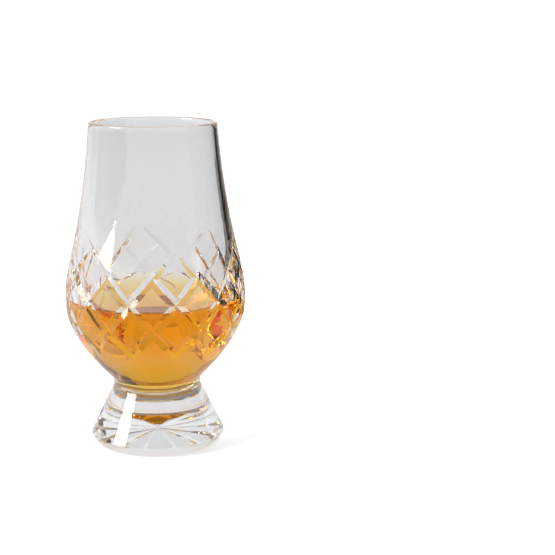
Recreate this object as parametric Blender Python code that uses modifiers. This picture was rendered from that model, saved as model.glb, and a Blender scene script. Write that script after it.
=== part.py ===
"""Footed tulip glass holding a drink: a blown bowl, a solid flared foot joined
under it, and the liquid in the bowl. Metres, +Z up. The origin is the centre of
the underside, where the glass stands."""

import math

import bpy

# ---------------------------------------------------------------- dimensions
MM = 0.001
SEGMENTS = 48              # facets round the axis

HEIGHT = 115.0             # underside to rim
RIM_RADIUS = 22.45         # outside of the lip
LIP_THICKNESS = 1.45
BELT_RADIUS = 31.9         # widest part of the bowl
BELT_HEIGHT = 52.6
WAIST_RADIUS = 15.47       # narrowest part, between the bowl and the foot's cone
WAIST_HEIGHT = 21.86
WAIST_ROUND = 4.0          # fillet round the waist
WAIST_OVER = 43.0          # how far the fillet turns above the waist, in degrees
WAIST_UNDER = 25.5         # and below it, to the slope of the cone
JOINT_HEIGHT = 15.0        # where the bowl is fused to the foot
HEEL_RADIUS = 23.95        # widest part of the foot
HEEL_HEIGHT = 3.2
SOLE_RADIUS = 21.2         # outer edge of the flat underside
STAR_POINTS = 12           # facets of the star cut in the underside
STAR_FIRST = 16.5          # degrees of its first corner from the -Y side towards +X
STAR_REACH = 17.0          # from the axis to the outer edge of a facet
STAR_DEPTH = 2.5
CAVITY_FLOOR = 17.6        # lowest point inside the bowl
LIQUID_LEVEL = 52.3
MENISCUS = 1.25            # how far the liquid climbs at the wall
GAP = 0.3                  # clearance between neighbouring pieces

# Stations of the bowl's outside as (radius, height), from the lip down to the fillet.
LIP_CENTRE = HEIGHT - LIP_THICKNESS / 2
BOWL_OUTSIDE = [
    (RIM_RADIUS, LIP_CENTRE),
    (23.65, 101.9),
    (25.65, 87.8),
    (28.4, 73.8),
    (30.9, 62.7),
    (BELT_RADIUS, BELT_HEIGHT),
    (31.0, 45.6),
    (27.6, 38.5),
    (21.95, 30.5),
    (19.25, 27.5),
    (16.55, 24.6),
]

# The wall grows from the thin lip to the heavy belt that takes the cutting.
WALL = [
    (LIP_CENTRE, LIP_THICKNESS),
    (101.9, 1.6),
    (87.8, 1.9),
    (73.8, 2.5),
    (62.7, 3.4),
    (BELT_HEIGHT, 3.9),
    (45.6, 3.9),
    (38.5, 4.2),
]
# Below the belt the cavity narrows into the waist and rounds in to its floor.
CAVITY_BOTTOM = [
    (17.8, CAVITY_FLOOR + 13.8),
    (14.5, CAVITY_FLOOR + 10.6),
    (12.3, CAVITY_FLOOR + 7.4),
    (11.0, CAVITY_FLOOR + 4.7),
    (9.8, CAVITY_FLOOR + 2.4),
    (7.5, CAVITY_FLOOR + 0.8),
    (4.0, CAVITY_FLOOR + 0.1),
    (0.0, CAVITY_FLOOR),
]


# ------------------------------------------------------------------ profiles
def spline(stations, steps):
    """A smooth line through the stations, with that many steps from each to the next."""
    pts = [stations[0]] + list(stations) + [stations[-1]]
    line = []
    for k in range(1, len(pts) - 2):
        p0, p1, p2, p3 = pts[k - 1 : k + 3]
        span = [max(math.dist(a, b), 1e-9) ** 0.5 for a, b in ((p0, p1), (p1, p2), (p2, p3))]
        for i in range(steps):
            t = i / steps
            point = []
            for c in range(2):
                m1 = m2 = p2[c] - p1[c]
                if p0 != p1:
                    m1 = span[1] * ((p1[c] - p0[c]) / span[0] - (p2[c] - p0[c]) / (span[0] + span[1])) + p2[c] - p1[c]
                if p3 != p2:
                    m2 = span[1] * ((p3[c] - p2[c]) / span[2] - (p3[c] - p1[c]) / (span[1] + span[2])) + p2[c] - p1[c]
                point.append(
                    (2 * t**3 - 3 * t**2 + 1) * p1[c]
                    + (t**3 - 2 * t**2 + t) * m1
                    + (3 * t**2 - 2 * t**3) * p2[c]
                    + (t**3 - t**2) * m2
                )
            line.append(tuple(point))
    line.append(tuple(stations[-1]))
    return line


def arc(centre, radius, start, end, steps):
    """Points on a circle in the profile plane, from one angle to another in degrees."""
    turn = [math.radians(start + (end - start) * i / steps) for i in range(steps + 1)]
    return [(centre[0] + radius * math.cos(a), centre[1] + radius * math.sin(a)) for a in turn]


def outside_radius(height):
    """The bowl's outer radius at a height, read off its stations."""
    line = spline(BOWL_OUTSIDE, 24)
    for (r1, z1), (r2, z2) in zip(line, line[1:]):
        if z2 <= height <= z1:
            return r2 + (r1 - r2) * (height - z2) / (z1 - z2)
    raise ValueError(height)


def cavity_stations():
    """The inside of the bowl, from the lip down to the centre of its floor."""
    return [(outside_radius(z) - wall, z) for z, wall in WALL] + CAVITY_BOTTOM


def inset(line, distance):
    """The same line moved inwards, square to itself; its end on the axis stays there."""
    moved = []
    for i, (r, z) in enumerate(line):
        (ra, za), (rb, zb) = line[max(i - 1, 0)], line[min(i + 1, len(line) - 1)]
        length = math.hypot(rb - ra, zb - za)
        moved.append((r + (zb - za) / length * distance, z - (rb - ra) / length * distance))
    r, z = line[-1]
    moved[-1] = (0.0, z + distance)
    return moved


def waist(steps):
    """Points on the fillet round the waist, from the bowl's side down to the cone."""
    return arc((WAIST_RADIUS + WAIST_ROUND, WAIST_HEIGHT), WAIST_ROUND, 180 - WAIST_OVER, 180 + WAIST_UNDER, steps)


def on_cone(height):
    """The point of the foot's cone at a height."""
    r, z = waist(1)[-1]
    return (r + (z - height) * math.tan(math.radians(WAIST_UNDER)), height)


def bowl_profile():
    inside = spline(cavity_stations(), 2)[::-1]
    lip = arc((RIM_RADIUS - LIP_THICKNESS / 2, LIP_CENTRE), LIP_THICKNESS / 2, 180, 0, 6)
    end = on_cone(JOINT_HEIGHT + GAP / 2)
    outside = spline(BOWL_OUTSIDE, 2) + waist(7)[1:] + [end]
    return inside + lip[1:-1] + outside + [(0.0, end[1])]


def base_profile():
    start = on_cone(JOINT_HEIGHT - GAP / 2)
    # A flat bevel between the cone and the sole, with its two edges taken off.
    heel = [
        (HEEL_RADIUS - 0.17, HEEL_HEIGHT + 0.35),
        (HEEL_RADIUS - 0.3, HEEL_HEIGHT - 0.35),
        (SOLE_RADIUS + 0.26, 0.25),
        (SOLE_RADIUS - 0.25, 0.0),
    ]
    return [(0.0, start[1]), start] + heel + [(0.0, 0.0)]


def liquid_profile():
    wall = [p for p in inset(spline(cavity_stations(), 6), GAP) if p[1] < LIQUID_LEVEL + MENISCUS]
    edge = (wall[0][0], LIQUID_LEVEL + MENISCUS)
    surface = [(0.0, LIQUID_LEVEL), (edge[0] * 0.5, LIQUID_LEVEL), (edge[0] - 3.5, LIQUID_LEVEL), (edge[0] - 1.0, LIQUID_LEVEL + MENISCUS * 0.4)]
    return surface + [edge] + wall[2:-1:3] + [wall[-1]]


# -------------------------------------------------------------------- objects
def collection(name, hidden=False):
    made = bpy.data.collections.new(name)
    bpy.context.scene.collection.children.link(made)
    made.hide_render = hidden
    return made


def finish(name, colour, roughness, ior, transmission):
    made = bpy.data.materials.new(name)
    made.use_nodes = True
    shader = made.node_tree.nodes["Principled BSDF"]
    shader.inputs["Base Color"].default_value = (*colour, 1.0)
    shader.inputs["Roughness"].default_value = roughness
    shader.inputs["Metallic"].default_value = 0.0
    shader.inputs["IOR"].default_value = ior
    shader.inputs["Transmission Weight"].default_value = transmission
    made.diffuse_color = (*colour, 1.0)
    return made


def turned(name, profile, material, into, parent):
    """A solid of revolution: the profile turned once round the Z axis."""
    mesh = bpy.data.meshes.new(name)
    points = [(r * MM, 0.0, z * MM) for r, z in profile]
    mesh.from_pydata(points, [(i, i + 1) for i in range(len(points) - 1)], [])
    made = bpy.data.objects.new(name, mesh)
    into.objects.link(made)
    made.parent = parent
    turn = made.modifiers.new("turn", "SCREW")
    turn.axis = "Z"
    turn.angle = math.tau
    turn.steps = turn.render_steps = SEGMENTS
    turn.use_merge_vertices = True
    turn.merge_threshold = 0.00001
    turn.use_smooth_shade = True
    mesh.materials.append(material)
    return made


def star_cutter(into):
    """A flat pyramid, point up, that leaves the star's facets in the underside."""
    reach = STAR_REACH / math.cos(math.pi / STAR_POINTS) * (STAR_DEPTH + 1.0) / STAR_DEPTH
    turn = [math.radians(STAR_FIRST) + math.tau * i / STAR_POINTS for i in range(STAR_POINTS)]
    points = [(reach * math.sin(a) * MM, -reach * math.cos(a) * MM, -1.0 * MM) for a in turn] + [(0.0, 0.0, STAR_DEPTH * MM)]
    sides = [(i, (i + 1) % STAR_POINTS, STAR_POINTS) for i in range(STAR_POINTS)]
    mesh = bpy.data.meshes.new("star_cutter")
    mesh.from_pydata(points, [], sides + [tuple(range(STAR_POINTS))[::-1]])
    made = bpy.data.objects.new("star_cutter", mesh)
    into.objects.link(made)
    made.display_type = "WIRE"
    made.hide_render = True
    return made


def cut(piece, cutter):
    made = piece.modifiers.new("cut", "BOOLEAN")
    made.operation = "DIFFERENCE"
    made.solver = "EXACT"
    made.object = cutter


def main():
    for old in list(bpy.data.objects):
        bpy.data.objects.remove(old, do_unlink=True)
    parts = collection("footed_tulip_glass")
    cutters = collection("cutters", hidden=True)
    stand = bpy.data.objects.new("glass_axis", None)
    parts.objects.link(stand)
    crystal = finish("clear crystal", (0.97, 0.98, 0.98), 0.02, 1.545, 1.0)
    foot = finish("clear crystal, foot", (0.97, 0.98, 0.98), 0.02, 1.545, 1.0)
    amber = finish("amber whisky", (0.80, 0.33, 0.03), 0.0, 1.36, 0.8)
    turned("bowl", bowl_profile(), crystal, parts, stand)
    base = turned("base", base_profile(), foot, parts, stand)
    cut(base, star_cutter(cutters))
    turned("whisky", liquid_profile(), amber, parts, stand)
    bpy.context.view_layer.update()


main()
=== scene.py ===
"""Looks of the footed tulip glass: cut crystal bowl, solid crystal foot and the whisky in it."""

import math

import bpy
import numpy as np
from mathutils import Matrix, Vector


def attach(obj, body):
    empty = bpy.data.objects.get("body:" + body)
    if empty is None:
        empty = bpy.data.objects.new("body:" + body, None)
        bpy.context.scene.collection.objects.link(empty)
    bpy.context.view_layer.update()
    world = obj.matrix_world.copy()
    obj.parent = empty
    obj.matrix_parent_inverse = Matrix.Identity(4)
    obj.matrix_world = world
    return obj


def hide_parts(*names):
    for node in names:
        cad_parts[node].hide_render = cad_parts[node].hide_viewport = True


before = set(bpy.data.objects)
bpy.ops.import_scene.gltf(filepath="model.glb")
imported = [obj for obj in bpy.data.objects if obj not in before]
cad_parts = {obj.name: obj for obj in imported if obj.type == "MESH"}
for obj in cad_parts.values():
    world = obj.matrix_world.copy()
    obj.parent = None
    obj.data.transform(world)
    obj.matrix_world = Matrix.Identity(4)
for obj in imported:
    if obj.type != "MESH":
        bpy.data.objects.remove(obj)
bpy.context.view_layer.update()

MM = 0.001

# ------------------------------------------------------------------ dimensions (mm)
HEIGHT = 115.0
RIM_RADIUS, LIP = 22.45, 1.45
WAIST_ROUND = 4.0                   # fillet where the foot flows into the bowl
JOINT_Z = 15.0                      # where the bowl is fused to the foot
HEEL_RADIUS, HEEL_Z, SOLE_RADIUS = 23.95, 3.2, 21.2
STAR_POINTS, STAR_FIRST = 12, 16.5  # lines of the star cut under the foot; degrees from the -Y side towards +X
STAR_REACH = 20.0                   # where the facets of the star come out at the sole
STAR_OUT, STAR_IN = 4.8, 10.0       # slope of a facet at its outer end and at the centre, in degrees
LINE_HALF, LINE_GROW = 0.2, 0.08    # half width of the line between two facets at the centre, and its growth per mm
LINE_WALL, LINE_RUNOUT = 12.0, 1.6  # slope of its walls in degrees, and the length over which it runs out
FLOOR_Z = 17.6                      # lowest point of the cavity
LEVEL = 52.3                        # flat part of the drink's surface
MENISCUS_RISE, MENISCUS_REACH = 1.25, 1.1
WET_OVERLAP = 0.06                  # the drink reaches this far into the wall, so no air film shows

LIP_Z = HEIGHT - LIP / 2
OUTSIDE = [(24.6, 16.55), (27.5, 19.25), (30.5, 21.95), (38.5, 27.6), (45.6, 31.0), (52.6, 31.9), (62.7, 30.9),
           (73.8, 28.4), (87.8, 25.65), (101.9, 23.65), (LIP_Z, RIM_RADIUS)]
WALL = [(38.5, 4.2), (45.6, 3.9), (52.6, 3.9), (62.7, 3.4), (73.8, 2.5), (87.8, 1.9), (101.9, 1.6), (LIP_Z, LIP)]
CAVITY = [(0.0, FLOOR_Z), (4.0, FLOOR_Z + 0.1), (7.5, FLOOR_Z + 0.8), (9.8, FLOOR_Z + 2.4), (11.0, FLOOR_Z + 4.7),
          (12.3, FLOOR_Z + 7.4), (14.5, FLOOR_Z + 10.6), (17.8, FLOOR_Z + 13.8)]

# The cut belt: 12 columns of diamonds between V grooves that run both ways round the bowl.
COLUMNS = 12
COLUMN_STEP = 360.0 / COLUMNS
FIRST_COLUMN = 12.5                 # degrees from the -Y side towards +X
GROOVE_HALF = 0.15                  # half width of a groove as a share of a cell
DEPTH_TOP, DEPTH_LOW = 0.74, 0.88   # depth of a groove in mm above the belt's crossings, and below them where the wall is thicker
LINES = 12                          # mesh lines for each cell side


# ------------------------------------------------------------------ curves
class Cubic:
    """A natural cubic spline through (x, y), smooth enough for clean reflections."""

    def __init__(self, xs, ys):
        x, y = np.asarray(xs, float), np.asarray(ys, float)
        n = len(x)
        h = np.diff(x)
        a = np.zeros((n, n))
        b = np.zeros(n)
        a[0, 0] = a[-1, -1] = 1.0
        for i in range(1, n - 1):
            a[i, i - 1], a[i, i], a[i, i + 1] = h[i - 1], 2 * (h[i - 1] + h[i]), h[i]
            b[i] = 6 * ((y[i + 1] - y[i]) / h[i] - (y[i] - y[i - 1]) / h[i - 1])
        self.x, self.y, self.h, self.m = x, y, h, np.linalg.solve(a, b)

    def _at(self, q):
        q = np.asarray(q, float)
        k = np.clip(np.searchsorted(self.x, q) - 1, 0, len(self.h) - 1)
        return q - self.x[k], self.x[k + 1] - q, self.h[k], k

    def __call__(self, q):
        lo, hi, h, k = self._at(q)
        m, y = self.m, self.y
        return (m[k] * hi**3 + m[k + 1] * lo**3) / (6 * h) + (y[k] / h - m[k] * h / 6) * hi + (y[k + 1] / h - m[k + 1] * h / 6) * lo

    def slope(self, q):
        lo, hi, h, k = self._at(q)
        m, y = self.m, self.y
        return (m[k + 1] * lo**2 - m[k] * hi**2) / (2 * h) + (y[k + 1] - y[k]) / h - (m[k + 1] - m[k]) * h / 6


outside = Cubic([z for z, _ in OUTSIDE], [r for _, r in OUTSIDE])


def through(points, count):
    """Points spread evenly along a smooth line through the given (r, z) points."""
    p = np.asarray(points, float)
    s = np.concatenate([[0], np.cumsum(np.hypot(*np.diff(p, axis=0).T))])
    fr, fz = Cubic(s, p[:, 0]), Cubic(s, p[:, 1])
    q = np.linspace(0, s[-1], count)
    return np.stack([fr(q), fz(q)], 1)


def waist_line(steps):
    """The fillet between bowl and cone: (r, z) from the bowl's side down to the narrowest point, and on down the cone to the joint."""
    z_top, r_top = OUTSIDE[0]
    lean = math.atan(float(outside.slope(z_top)))
    rc, zc = r_top + WAIST_ROUND * math.cos(lean), z_top - WAIST_ROUND * math.sin(lean)
    flare = 0.4
    for _ in range(20):
        r_end, z_end = rc - WAIST_ROUND * math.cos(flare), zc - WAIST_ROUND * math.sin(flare)
        flare = math.atan((HEEL_RADIUS - r_end) / (z_end - HEEL_Z))
    over = [(rc - WAIST_ROUND * math.cos(a), zc + WAIST_ROUND * math.sin(a)) for a in np.linspace(lean, 0, steps)]
    below = [(rc - WAIST_ROUND * math.cos(a), zc - WAIST_ROUND * math.sin(a)) for a in np.linspace(0, flare, steps)]
    return over, below + [(r_end + (z_end - JOINT_Z) * math.tan(flare), JOINT_Z)]


def cavity_line(count):
    """The inside of the bowl, from the centre of its floor up to the lip."""
    side = [(float(outside(z)) - wall, z) for z, wall in WALL]
    # A mirrored start keeps the floor square to the axis.
    start = [(-r, z) for r, z in CAVITY[:0:-1]]
    line = through(start + CAVITY + side, 2 * count)
    line = line[np.argmin(np.abs(line[:, 0])) :]
    keep = np.linspace(0, len(line) - 1, count).round().astype(int)
    line = line[keep]
    line[0] = (0.0, FLOOR_Z)
    return line


# ------------------------------------------------------------------ mesh helpers
class Builder:
    """Collects points and faces; a ring is one circle of points round the axis."""

    def __init__(self):
        self.points, self.faces, self.slots = [], [], []

    def add(self, pts):
        first = len(self.points)
        self.points.extend(map(tuple, pts))
        return list(range(first, first + len(pts)))

    def ring(self, radius, z, angles):
        return self.add(np.stack([radius * np.sin(angles), -radius * np.cos(angles), np.full(len(angles), z)], 1))

    def face(self, ids, slot=0):
        self.faces.append(ids)
        self.slots.append(slot)

    def bridge(self, low, high, slot=0):
        """Quads between two rings; they face out when high is above low on an outer side."""
        n = len(low)
        for i in range(n):
            self.face((low[i], low[(i + 1) % n], high[(i + 1) % n], high[i]), slot)

    def fan(self, ring, centre, up, slot=0):
        n = len(ring)
        for i in range(n):
            a, b = ring[i], ring[(i + 1) % n]
            self.face((a, b, centre) if up else (b, a, centre), slot)

    def piece(self, name, materials, sharp_deg):
        mesh = bpy.data.meshes.new(name)
        mesh.from_pydata([(x * MM, y * MM, z * MM) for x, y, z in self.points], [], self.faces)
        for m in materials:
            mesh.materials.append(m)
        mesh.polygons.foreach_set("material_index", np.array(self.slots, np.int32))
        mesh.validate()
        mesh.shade_smooth()
        mesh.set_sharp_from_angle(angle=math.radians(sharp_deg))
        mesh.update()
        obj = bpy.data.objects.new(name, mesh)
        bpy.context.scene.collection.objects.link(obj)
        return obj


# ------------------------------------------------------------------ cut belt
def row_height(g):
    """Height of a row of the diamond lattice: g is 0 at the crossings on the belt, 0.5 a half row up."""
    return 55.85 + 18.4 * g + 0.3 * g * g


def runout(g, primary):
    """How much of the groove is left at row g: it runs out to a point at the top of each peak."""
    top = np.clip((0.96 - g) / 0.42, 0, 1) ** 0.85
    foot = 1 - 0.2 * np.clip((-0.75 - g) / 0.25, 0, 1)
    return np.where(primary, np.minimum(top, foot), foot)


def half_width(g, primary):
    kept = np.where(g > 1.0, np.clip((g - 1.0) / 0.4, 0.12, 1), np.maximum(runout(g, primary), 0.12))
    kept = np.where(g < -1.0, 0.8 + 0.2 * np.clip((-1.0 - g) / 0.3, 0, 1), kept)
    return GROOVE_HALF * np.where(primary, kept, np.where(g > 1.0, 1.0, np.maximum(kept, 0.8)))


def belt(build):
    """The belt's mesh, with lines along every groove. Returns its lowest and highest ring and their angles."""
    n, half_rows = LINES, 3
    m, j = np.meshgrid(np.arange(-half_rows * n, half_rows * n + 1), np.arange(COLUMNS * n), indexing="ij")
    i = m + j
    ku, su, kv, sv = i // n, i % n, j // n, j % n

    def coordinate(k, s, g):
        odd, nxt = (k % 2) == 1, ((k + 1) % 2) == 1
        w0, w1 = half_width(g, odd), half_width(g, nxt)
        share = np.clip((s - 1) / (n - 2), 0, 1)
        return k + np.where(s == 0, 0.0, w0 + share * (1 - w0 - w1))

    g = m / (2.0 * n)
    for _ in range(60):
        u, v = coordinate(ku, su, g), coordinate(kv, sv, g)
        g = 0.5 * g + 0.5 * (u - v) / 2
    angle = np.radians(FIRST_COLUMN + COLUMN_STEP * (u + v) / 2)
    z = row_height(g)

    # A groove line is cut between its ends: peaks at the top (every second column), tips at the foot.
    first_u, first_v = (ku % 2) == 1, (kv % 2) == 1
    cut_u = (su == 0) & np.where(first_u, g < 0.97, g <= 0.5 + 1e-3) & (g >= -1.0 - 1e-3)
    cut_v = (sv == 0) & np.where(first_v, g < 0.97, g <= 0.5 + 1e-3) & (g >= -1.0 - 1e-3)
    full = DEPTH_TOP + (DEPTH_LOW - DEPTH_TOP) * np.clip((0.05 - g) / 0.4, 0, 1)
    depth = full * np.maximum(np.where(cut_u, runout(g, first_u), 0), np.where(cut_v, runout(g, first_v), 0))

    r, dr = outside(z), outside.slope(z)
    length = np.sqrt(1 + dr * dr)
    rr, zz = r - depth / length, z + depth * dr / length
    pts = np.stack([rr * np.sin(angle), -rr * np.cos(angle), zz], -1)
    rows, around = m.shape
    build_ids = np.array(build.add(pts.reshape(-1, 3))).reshape(rows, around)
    deep = depth > 1e-6

    def vid(mi, ji):
        return build_ids[mi, ji % around], bool(deep[mi, ji % around])

    for row in range(rows):
        for col in range(around):
            # Corners of a cell: left, foot, right, head. i = m + j, so one step of j at fixed i lowers m.
            left = vid(row, col)
            right = vid(row, col + 1)
            foot = vid(row - 1, col + 1) if row > 0 else None
            head = vid(row + 1, col) if row + 1 < rows else None
            if foot is None:
                build.face((left[0], right[0], head[0]))
            elif head is None:
                build.face((left[0], foot[0], right[0]))
            else:
                quad = [left, foot, right, head]
                wet = [q[1] for q in quad]
                ids = [q[0] for q in quad]
                if sum(wet) in (1, 3):
                    odd_one = wet.index(sum(wet) == 1)
                    q = ids[odd_one:] + ids[:odd_one]
                    build.face((q[0], q[1], q[2]))
                    build.face((q[0], q[2], q[3]))
                else:
                    build.face(tuple(ids))
    return list(build_ids[0]), list(build_ids[-1]), angle[0], angle[-1]


# ------------------------------------------------------------------ pieces
CRYSTAL, WET, JOINT = 0, 1, 2


def make_bowl(materials):
    b = Builder()
    low, high, angle_low, angle_high = belt(b)
    z_low, z_high = float(row_height(-1.5)), float(row_height(1.5))

    # Outside below the belt, down to the joint with the foot.
    ring = low
    side = [(float(outside(z)), z) for z in np.linspace(z_low, OUTSIDE[0][0], 8)[1:]]
    over, below = waist_line(14)
    for r, z in side + over[1:] + below[1:]:
        nxt = b.ring(r, z, angle_low)
        b.bridge(nxt, ring)
        ring = nxt
    joint_r, joint_z = below[-1]
    centre = b.add([(0, 0, joint_z)])[0]
    mid = b.ring(joint_r * 0.5, joint_z, angle_low)
    b.bridge(mid, ring, JOINT)
    b.fan(mid, centre, False, JOINT)

    # Outside above the belt, over the fire-polished lip.
    ring = high
    for z in np.linspace(z_high, LIP_Z, 26)[1:]:
        nxt = b.ring(float(outside(z)), z, angle_high)
        b.bridge(ring, nxt)
        ring = nxt
    for a in np.linspace(0, np.pi, 13)[1:]:
        nxt = b.ring(RIM_RADIUS - LIP / 2 + LIP / 2 * np.cos(a), LIP_Z + LIP / 2 * np.sin(a), angle_high)
        b.bridge(ring, nxt)
        ring = nxt

    # Inside, down to the floor. The wall that the drink wets is marked from the meniscus down.
    contact = LEVEL + MENISCUS_RISE
    line = cavity_line(90)[::-1]
    nearest = int(np.argmin(np.abs(line[:, 1] - contact) + 100 * (line[:, 0] < 5)))
    r_wall = float(np.interp(contact, line[::-1, 1], line[::-1, 0]))
    line[nearest] = (r_wall, contact)
    for k, (r, z) in enumerate(line[1:-1], 1):
        nxt = b.ring(r, z, angle_high)
        b.bridge(ring, nxt, WET if k > nearest else CRYSTAL)
        ring = nxt
    b.fan(ring, b.add([(0, 0, FLOOR_Z)])[0], True, WET)
    return b.piece("crystal_bowl", materials, 15)


def turned(name, line, segments, materials, slots, sharp_deg):
    """A closed turned piece: the line runs from the axis at the top, down the outer side, to the axis at the bottom."""
    b = Builder()
    angles = np.linspace(0, 2 * np.pi, segments, endpoint=False)
    ring = b.ring(line[1][0], line[1][1], angles)
    b.fan(ring, b.add([(0, 0, line[0][1])])[0], True, slots[0])
    for k in range(2, len(line) - 1):
        nxt = b.ring(line[k][0], line[k][1], angles)
        b.bridge(nxt, ring, slots[k - 1])
        ring = nxt
    b.fan(ring, b.add([(0, 0, line[-1][1])])[0], False, slots[-1])
    return b.piece(name, materials, sharp_deg)


def star_height(r, off):
    """Height of the star cut over the sole, at a radius and an angle from the nearest line of the star."""
    a, b = math.tan(math.radians(STAR_OUT)), math.tan(math.radians(STAR_IN))
    x = max(STAR_REACH - r * math.cos(math.pi / STAR_POINTS - off), 0.0)
    facet = a * x + (b - a) / (2 * STAR_REACH) * x * x
    left = min(max((STAR_REACH - r) / LINE_RUNOUT, 0.0), 1.0)
    return facet + max(left * (LINE_HALF + LINE_GROW * r) - r * math.sin(off), 0.0) * math.tan(math.radians(LINE_WALL))


def heel_line():
    """The heel: a flat bevel between the cone and the sole, with a small polished round at each edge."""
    line = []
    for (ra, za), (rb, zb), (rc, zc) in (((HEEL_RADIUS - 0.31, HEEL_Z + 0.7), (HEEL_RADIUS, HEEL_Z), (HEEL_RADIUS - 0.68, HEEL_Z - 0.67)),
                                         ((SOLE_RADIUS + 0.51, 0.5), (SOLE_RADIUS, 0.0), (SOLE_RADIUS - 0.5, 0.0))):
        for t in np.linspace(0, 1, 25):
            line.append(((1 - t) ** 2 * ra + 2 * t * (1 - t) * rb + t * t * rc, (1 - t) ** 2 * za + 2 * t * (1 - t) * zb + t * t * zc))
    return line


def make_base(materials):
    b = Builder()
    segments = 16 * STAR_POINTS
    step = 2 * math.pi / segments
    angles = math.radians(STAR_FIRST) + step * np.arange(segments)
    joint_r, joint_z = waist_line(14)[1][-1]
    heel = heel_line()
    cone = [tuple(p) for p in np.linspace((joint_r, joint_z), heel[0], 20)[1:]]

    mid = b.ring(joint_r * 0.5, joint_z, angles)
    b.fan(mid, b.add([(0, 0, joint_z)])[0], True, JOINT)
    ring = b.ring(joint_r, joint_z, angles)
    b.bridge(ring, mid, JOINT)
    for r, z in cone + heel[1:]:
        nxt = b.ring(r, z, angles)
        b.bridge(nxt, ring, CRYSTAL)
        ring = nxt

    # The sole, and the star cut into it: facets that steepen towards the centre, with a V line between them.
    turn = np.arange(segments) % 16
    off = np.minimum(turn, 16 - turn) * step
    edge = np.minimum(STAR_REACH / np.cos(math.pi / STAR_POINTS - off), heel[-1][0] - 0.02)
    for share in np.linspace(1, 0, 41)[:-1]:
        radii = edge * share
        heights = np.array([star_height(r, o) for r, o in zip(radii, off)])
        nxt = b.add(np.stack([radii * np.sin(angles), -radii * np.cos(angles), heights], 1))
        b.bridge(nxt, ring, CRYSTAL)
        ring = nxt
    b.fan(ring, b.add([(0, 0, star_height(0.0, 0.0))])[0], False, CRYSTAL)
    return b.piece("crystal_base", materials, 4)


def make_whisky(materials):
    contact = LEVEL + MENISCUS_RISE
    wall = cavity_line(160)
    tangent = np.gradient(wall, axis=0)
    tangent /= np.hypot(tangent[:, 0], tangent[:, 1])[:, None]
    # Outwards from the axis, square to the wall.
    wall = wall + WET_OVERLAP * np.stack([tangent[:, 1], -tangent[:, 0]], 1)
    wall[0] = (0.0, FLOOR_Z - WET_OVERLAP)
    edge_r = float(np.interp(contact, wall[30:, 1], wall[30:, 0]))
    under = wall[wall[:, 1] < contact - 0.25]
    reach = np.concatenate([np.linspace(0, edge_r - 6, 8), edge_r - np.geomspace(5.2, 0.04, 26), [edge_r]])
    surface = [(r, LEVEL + MENISCUS_RISE * math.exp(-(edge_r - r) / MENISCUS_REACH)) for r in reach]
    line = surface + [tuple(p) for p in under[::-1]]
    return turned("whisky_fill", line, 144, materials, [0] * (len(line) - 1), 50)


# ------------------------------------------------------------------ materials
def node_material(name):
    m = bpy.data.materials.new(name)
    m.use_nodes = True
    t = m.node_tree
    t.nodes.clear()
    out = t.nodes.new("ShaderNodeOutputMaterial")
    shader = t.nodes.new("ShaderNodeBsdfPrincipled")
    t.links.new(shader.outputs["BSDF"], out.inputs["Surface"])
    return m, t, shader, out


def surface_detail(t, shader, wave_mm, wave_um, rough_low, rough_high):
    """Slow waves of blown glass in the normal, and a polish that varies a little from place to place."""
    coords = t.nodes.new("ShaderNodeTexCoord")
    wave = t.nodes.new("ShaderNodeTexNoise")
    wave.inputs["Scale"].default_value = 1000.0 / wave_mm
    wave.inputs["Detail"].default_value = 1.0
    bump = t.nodes.new("ShaderNodeBump")
    bump.inputs["Strength"].default_value = 1.0
    bump.inputs["Distance"].default_value = wave_um * 1e-6
    t.links.new(coords.outputs["Object"], wave.inputs["Vector"])
    t.links.new(wave.outputs["Fac"], bump.inputs["Height"])
    t.links.new(bump.outputs["Normal"], shader.inputs["Normal"])
    polish = t.nodes.new("ShaderNodeTexNoise")
    polish.inputs["Scale"].default_value = 1000.0 / 7.0
    polish.inputs["Detail"].default_value = 3.0
    span = t.nodes.new("ShaderNodeMapRange")
    span.inputs["From Min"].default_value = 0.35
    span.inputs["From Max"].default_value = 0.75
    span.inputs["To Min"].default_value = rough_low
    span.inputs["To Max"].default_value = rough_high
    t.links.new(coords.outputs["Object"], polish.inputs["Vector"])
    t.links.new(polish.outputs["Fac"], span.inputs["Value"])
    t.links.new(span.outputs["Result"], shader.inputs["Roughness"])


def crystal(name, wet=False):
    m, t, shader, _ = node_material(name)
    shader.inputs["Base Color"].default_value = (0.985, 0.99, 0.99, 1.0)
    shader.inputs["Transmission Weight"].default_value = 1.0
    shader.inputs["IOR"].default_value = 1.545
    if wet:
        # Against the drink the wall hardly reflects, so its own mirror is turned down.
        shader.inputs["Specular Tint"].default_value = (0.09, 0.09, 0.09, 1.0)
    surface_detail(t, shader, 14.0, 10.0, 0.0, 0.012)
    return m


def fused_joint():
    m, t, shader, _ = node_material("fused_joint")
    shader.inputs["Alpha"].default_value = 0.0
    return m


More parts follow.
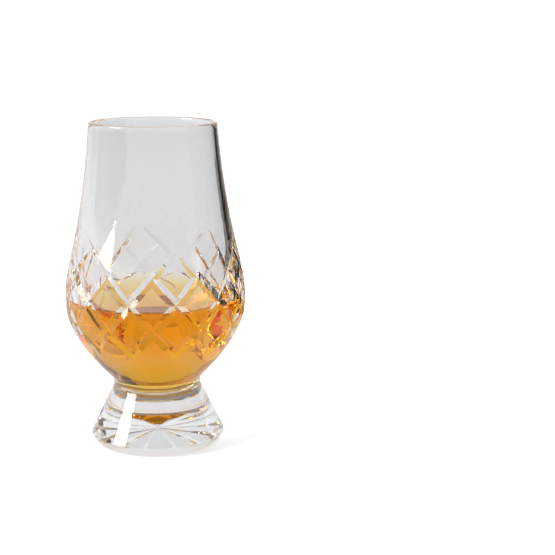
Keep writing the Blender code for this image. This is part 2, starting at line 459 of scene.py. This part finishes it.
def whisky():
    m, t, shader, out = node_material("amber_whisky")
    shader.inputs["Base Color"].default_value = (1.0, 1.0, 1.0, 1.0)
    shader.inputs["Transmission Weight"].default_value = 1.0
    shader.inputs["IOR"].default_value = 1.36
    surface_detail(t, shader, 22.0, 6.0, 0.0, 0.006)
    # Only the free surface is a mirror; where the drink wets the wall it hardly reflects.
    coords, parts, free = t.nodes.new("ShaderNodeTexCoord"), t.nodes.new("ShaderNodeSeparateXYZ"), t.nodes.new("ShaderNodeMapRange")
    free.inputs["From Min"].default_value, free.inputs["From Max"].default_value = (LEVEL - 0.06) * MM, (LEVEL - 0.04) * MM
    free.inputs["To Min"].default_value = 0.05
    t.links.new(coords.outputs["Object"], parts.inputs[0])
    t.links.new(parts.outputs["Z"], free.inputs["Value"])
    t.links.new(free.outputs["Result"], shader.inputs["Specular Tint"])
    body = t.nodes.new("ShaderNodeVolumeAbsorption")
    body.inputs["Color"].default_value = (0.99, 0.79, 0.03, 1.0)
    body.inputs["Density"].default_value = 105.0
    t.links.new(body.outputs["Volume"], out.inputs["Volume"])
    return m


# ------------------------------------------------------------------ build
dry, wet, joint = crystal("cut_crystal"), crystal("cut_crystal_wet", True), fused_joint()
bowl = make_bowl([dry, wet, joint])
base = make_base([crystal("foot_crystal"), wet, joint])
drink = make_whisky([whisky()])

for piece, node, slot in ((bowl, "bowl", "crystal_bowl"), (base, "base", "crystal_base"), (drink, "whisky", "whisky")):
    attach(piece, "root")
    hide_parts(node)


# ------------------------------------------------------------------ stage
def plain(name, colour, roughness=0.9, emission=0.0):
    m, t, shader, _ = node_material(name)
    shader.inputs["Base Color"].default_value = (*colour, 1.0)
    shader.inputs["Roughness"].default_value = roughness
    if emission:
        shader.inputs["Emission Color"].default_value = (*colour, 1.0)
        shader.inputs["Emission Strength"].default_value = emission
    return m


def plane(name, corners, material, faces=None):
    mesh = bpy.data.meshes.new(name)
    mesh.from_pydata(corners, [], faces or [tuple(range(len(corners)))])
    mesh.materials.append(material)
    obj = bpy.data.objects.new(name, mesh)
    bpy.context.scene.collection.objects.link(obj)
    return obj


S = 60.0
floor = plane("floor", [(-S, -S, 0), (S, -S, 0), (S, S, 0), (-S, S, 0)], plain("pale_floor", (0.9, 0.9, 0.9), 0.9, 0.62))
floor.visible_transmission = floor.visible_glossy = floor.visible_diffuse = floor.visible_shadow = False


def glow(material, near, far, start, end, edge, painted_shade_colour):
    """Paints light and shade into the floor's colour: a painted amber glow round the foot, standing in for the light
    that the drink colours, and painted shade that falls dim and brown towards the near side, from just in front of the
    foot.
    """
    t = material.node_tree
    coords, flat, span, ramp, parts, front, shade, dim = (t.nodes.new("ShaderNode" + k) for k in ("TexCoord", "VectorMath", "MapRange", "ValToRGB", "SeparateXYZ", "MapRange", "ValToRGB", "VectorMath"))
    flat.operation, dim.operation = "LENGTH", "MULTIPLY"
    span.inputs["From Min"].default_value, span.inputs["From Max"].default_value = start, end
    ramp.color_ramp.elements[0].color, ramp.color_ramp.elements[1].color = (*near, 1.0), (*far, 1.0)
    front.inputs["From Min"].default_value, front.inputs["From Max"].default_value = edge
    shade.color_ramp.elements[0].color, shade.color_ramp.elements[1].color = (*painted_shade_colour, 1.0), (1.0, 1.0, 1.0, 1.0)
    shader = t.nodes["Principled BSDF"]
    t.links.new(coords.outputs["Object"], flat.inputs[0])
    t.links.new(flat.outputs["Value"], span.inputs["Value"])
    t.links.new(span.outputs["Result"], ramp.inputs["Fac"])
    t.links.new(coords.outputs["Object"], parts.inputs[0])
    t.links.new(parts.outputs["Y"], front.inputs["Value"])
    t.links.new(ramp.outputs["Color"], dim.inputs[0])
    t.links.new(front.outputs["Result"], shade.inputs["Fac"])
    t.links.new(shade.outputs["Color"], dim.inputs[1])
    t.links.new(dim.outputs["Vector"], shader.inputs["Base Color"])
    t.links.new(dim.outputs["Vector"], shader.inputs["Emission Color"])


def lower_floor(name, depth, painted_shade_colour):
    """The floor as the glass shows it, with a painted amber glow round the foot; the one that it mirrors also has
    painted shade, dim and brown in front of the glass, as under a photographer.
    """
    material = plain("pale_" + name, (0.87, 0.87, 0.88), 0.9, 0.13)
    # Painted amber glow round the foot, fading to the plain floor colour between 23.5 and 28.5 mm from the axis;
    # painted shade in front of the glass, in the given colour.
    glow(material, (0.96, 0.66, 0.33), (0.87, 0.87, 0.88), 0.0235, 0.0285, (-0.065, -0.022), painted_shade_colour)
    obj = plane(name, [(-S, -S, -depth), (S, -S, -depth), (S, S, -depth), (-S, S, -depth)], material)
    obj.visible_camera = False
    return obj


lower_floor("floor_in_glass", 2e-4, (1.0, 1.0, 1.0)).visible_glossy = False
# The mirrored floor also gets painted shade, dim and brown, in front of the glass; the floor in the glass gets none.
mirrored = lower_floor("floor_in_mirror", 1e-4, (0.24, 0.18, 0.10))
mirrored.visible_transmission = mirrored.visible_diffuse = mirrored.visible_shadow = False

# A dark flag behind the glass on its right, out of the camera's sight, draws the dark edge that a clear glass needs.
flag_foot = [(0.0399, 0.0426), (0.10, -0.06), (0.16, -0.03), (0.0735, 0.0956)]
flag_mat = plain("black_flag", (0.006, 0.011, 0.014), 1.0)
flag_mat.node_tree.nodes["Principled BSDF"].inputs["Specular IOR Level"].default_value = 0.0
flag = plane("flag", [(x, y, z) for z in (0.035, 0.14) for x, y in flag_foot], flag_mat,
             [(0, 1, 5, 4), (1, 2, 6, 5), (2, 3, 7, 6), (3, 0, 4, 7), (4, 5, 6, 7)])
flag.visible_camera = flag.visible_shadow = flag.visible_diffuse = False

ROOM_FROM, ROOM_TO, ROOM_DIM, ROOM_LOW = 0.30, 0.62, 0.30, 0.30   # where the room dims, from the near side (0) to the far side (1), and how far
world = bpy.data.worlds.new("studio")
bpy.context.scene.world = world
world.use_nodes = True
wt = world.node_tree
wt.nodes.clear()
w_out = wt.nodes.new("ShaderNodeOutputWorld")
w_seen, w_light, w_mix = wt.nodes.new("ShaderNodeBackground"), wt.nodes.new("ShaderNodeBackground"), wt.nodes.new("ShaderNodeMixShader")
path = wt.nodes.new("ShaderNodeLightPath")
w_seen.inputs["Color"].default_value = (1, 1, 1, 1)
w_seen.inputs["Strength"].default_value = 1.05
w_light.inputs["Strength"].default_value = 0.74
# Behind the glass the studio is white; it falls off to a dim, warm room on the near side.
ways = wt.nodes.new("ShaderNodeTexCoord")
parts = wt.nodes.new("ShaderNodeSeparateXYZ")
fall = wt.nodes.new("ShaderNodeValToRGB")
fall.color_ramp.elements[0].position, fall.color_ramp.elements[0].color = ROOM_FROM, (0, 0, 0, 1)
fall.color_ramp.elements[1].position, fall.color_ramp.elements[1].color = ROOM_TO, (1, 1, 1, 1)
rise = wt.nodes.new("ShaderNodeValToRGB")
rise.color_ramp.elements[0].position, rise.color_ramp.elements[0].color = 0.08, (ROOM_LOW, ROOM_LOW * 0.98, ROOM_LOW * 0.95, 1)
rise.color_ramp.elements[1].position, rise.color_ramp.elements[1].color = 0.38, (ROOM_DIM, ROOM_DIM, ROOM_DIM * 1.02, 1)
room = wt.nodes.new("ShaderNodeMix")
room.data_type = "RGBA"
back = wt.nodes.new("ShaderNodeValToRGB")
back.color_ramp.elements[0].position, back.color_ramp.elements[0].color = 0.10, (1.25, 1.255, 1.26, 1)
back.color_ramp.elements[1].position, back.color_ramp.elements[1].color = 0.60, (0.98, 0.985, 1.0, 1)
shift = wt.nodes.new("ShaderNodeMath")
shift.operation = "MULTIPLY_ADD"
shift.inputs[1].default_value = shift.inputs[2].default_value = 0.5
wt.links.new(ways.outputs["Generated"], parts.inputs[0])
wt.links.new(parts.outputs["Y"], shift.inputs[0])
wt.links.new(shift.outputs[0], fall.inputs["Fac"])
wt.links.new(parts.outputs["Z"], rise.inputs["Fac"])
wt.links.new(fall.outputs["Color"], room.inputs[0])
wt.links.new(rise.outputs["Color"], room.inputs[6])
wt.links.new(parts.outputs["Z"], back.inputs["Fac"])
wt.links.new(back.outputs["Color"], room.inputs[7])
wt.links.new(room.outputs[2], w_light.inputs["Color"])
wt.links.new(path.outputs["Is Camera Ray"], w_mix.inputs[0])
wt.links.new(w_light.outputs[0], w_mix.inputs[1])
wt.links.new(w_seen.outputs[0], w_mix.inputs[2])
wt.links.new(w_mix.outputs[0], w_out.inputs["Surface"])


def softbox(name, azimuth, elevation, distance, width, height, radiance):
    """A rectangular light aimed at the bowl; azimuth is from the -Y side towards +X."""
    az, el = math.radians(azimuth), math.radians(elevation)
    away = Vector((math.sin(az) * math.cos(el), -math.cos(az) * math.cos(el), math.sin(el)))
    data = bpy.data.lights.new(name, "AREA")
    data.shape = "RECTANGLE"
    data.size, data.size_y = width, height
    data.energy = radiance * math.pi * width * height
    obj = bpy.data.objects.new(name, data)
    obj.location = Vector((0, 0, 0.055)) + away * distance
    obj.rotation_euler = away.to_track_quat("Z", "Y").to_euler()
    obj.visible_camera = False
    bpy.context.scene.collection.objects.link(obj)
    return obj


# A window to the left, its sill above the bowl, with a narrow pane beside it.
softbox("window", -73.5, 21.5, 2.5, 1.0, 1.06, 14.0)
softbox("window_edge", -60.6, 21.5, 2.5, 0.035, 1.06, 14.0)


# ------------------------------------------------------------------ camera
def photo_camera(focal_px, distance, height, yaw, pitch, roll):
    """A camera in front of the glass at the photograph's angle; the frame is 555 pixels square."""
    ya, pi, ro = (math.radians(a) for a in (yaw, pitch, roll))
    forward = Vector((math.sin(ya) * math.cos(pi), math.cos(ya) * math.cos(pi), -math.sin(pi)))
    right = Vector((math.cos(ya), -math.sin(ya), 0.0))
    up = right.cross(forward)
    x = right * math.cos(ro) + up * math.sin(ro)
    y = -right * math.sin(ro) + up * math.cos(ro)
    data = bpy.data.cameras.new("camera")
    data.sensor_width = 36.0
    data.lens = focal_px / 555.0 * 36.0
    data.clip_start, data.clip_end = 0.01, 50.0
    obj = bpy.data.objects.new("camera", data)
    obj.matrix_world = Matrix(((x.x, y.x, -forward.x, 0.0), (x.y, y.y, -forward.y, -distance), (x.z, y.z, -forward.z, height), (0, 0, 0, 1)))
    bpy.context.scene.collection.objects.link(obj)
    bpy.context.scene.camera = obj


photo_camera(1304.2, 0.45722, 0.15313, 5.452, 11.603, 0.137)

scene = bpy.context.scene
scene.view_settings.view_transform = "Standard"
# The wall guides light up to the lip over many reflections.
scene.cycles.max_bounces = scene.cycles.transmission_bounces = scene.cycles.glossy_bounces = 160
scene.cycles.transparent_max_bounces = 24
scene.cycles.use_denoising = True
